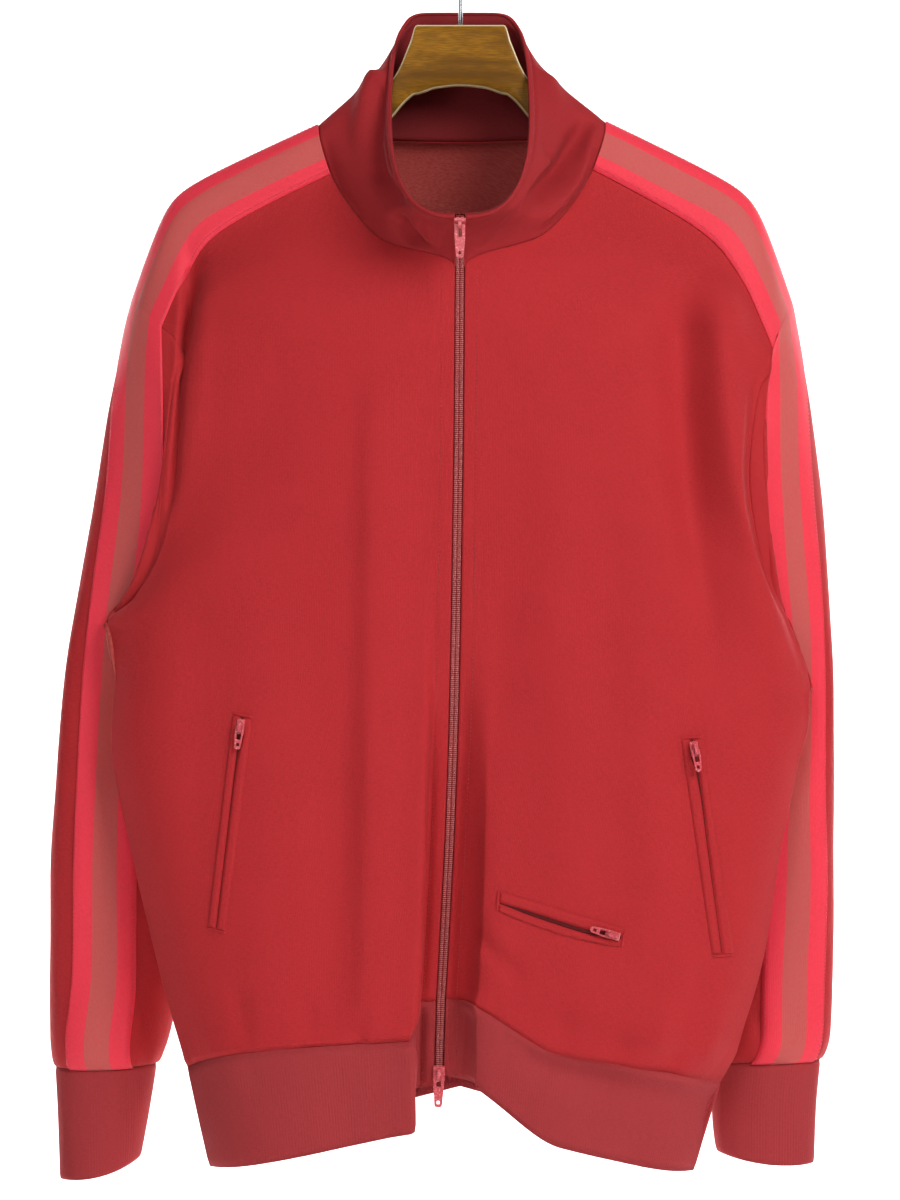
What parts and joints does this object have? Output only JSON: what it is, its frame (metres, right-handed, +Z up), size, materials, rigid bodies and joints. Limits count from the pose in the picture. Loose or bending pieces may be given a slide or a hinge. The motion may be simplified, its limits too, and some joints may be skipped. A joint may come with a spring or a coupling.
{
  "type": "track jacket on hanger",
  "caption": "Zip-front track jacket with stand collar, ribbed cuffs and waistband, zipped welt pockets and a braid down each sleeve, hanging closed on a wooden hanger with a wire hook",
  "frame": {"origin": "the underside of the hook's bend, on the hanger's middle plane, where a rail carries it", "axes": "+Z up, the front of the jacket faces -Y, +X is to the right as seen from the front (the wearer's left)"},
  "size_m": [0.5295, 0.1655, 0.8618],
  "materials": {
    "tricot": "smooth knit, matt",
    "rib": "ribbed knit",
    "braid": "woven tape",
    "zip_cloth": "woven tape",
    "coil": "moulded, satin",
    "pulls": "painted zinc casting",
    "wood": "varnished",
    "wire": "plated, polished"
  },
  "bodies": {
    "jacket": {"front_left": "tricot", "front_right": "tricot", "back": "tricot", "collar": "tricot", "sleeve_left": "tricot", "sleeve_right": "tricot", "welt_side_left": "tricot", "welt_side_right": "tricot", "welt_small": "tricot", "waistband": "rib", "cuff_left": "rib", "cuff_right": "rib", "tape_left": "braid", "tape_right": "braid", "zip_tape_left": "zip_cloth", "zip_tape_right": "zip_cloth", "pocket_zip_side_left": "zip_cloth", "pocket_zip_side_right": "zip_cloth", "pocket_zip_small": "zip_cloth", "zip_coil": "coil", "slider_top": "pulls", "slider_bottom": "pulls", "slider_pocket_side_left": "pulls", "slider_pocket_side_right": "pulls", "slider_pocket_small": "pulls", "hanger": "wood", "hook": "wire"},
    "pull_top": {"tab_top": "pulls"},
    "pull_bottom": {"tab_bottom": "pulls"},
    "pull_pocket_side_left": {"tab_pocket_side_left": "pulls"},
    "pull_pocket_side_right": {"tab_pocket_side_right": "pulls"},
    "pull_pocket_small": {"tab_pocket_small": "pulls"}
  },
  "joints": [
    {"name": "pull_top_swing", "type": "hinge", "parent": "jacket", "child": "pull_top", "pos_m": [-0.00059, -0.10187, -0.22581], "axis": [-1, 0.0013, -0.0003], "range_deg": [-78.6, 71.4]},
    {"name": "pull_bottom_swing", "type": "hinge", "parent": "jacket", "child": "pull_bottom", "pos_m": [-0.01432, -0.04812, -0.78271], "axis": [-0.9995, -0.0191, 0.027], "range_deg": [-3.2, 146.8]},
    {"name": "pull_pocket_side_left_swing", "type": "hinge", "parent": "jacket", "child": "pull_pocket_side_left", "pos_m": [-0.14467, -0.07323, -0.55286], "axis": [-0.9835, 0.1323, 0.1232], "range_deg": [0, 150]},
    {"name": "pull_pocket_side_right_swing", "type": "hinge", "parent": "jacket", "child": "pull_pocket_side_right", "pos_m": [0.15395, -0.0713, -0.56761], "axis": [-0.9546, -0.2537, -0.1564], "range_deg": [-1.3, 148.7]},
    {"name": "pull_pocket_small_swing", "type": "hinge", "parent": "jacket", "child": "pull_pocket_small", "pos_m": [0.0983, -0.07694, -0.68796], "axis": [0.2861, -0.0026, 0.9582], "range_deg": [0, 150]}
  ]
}
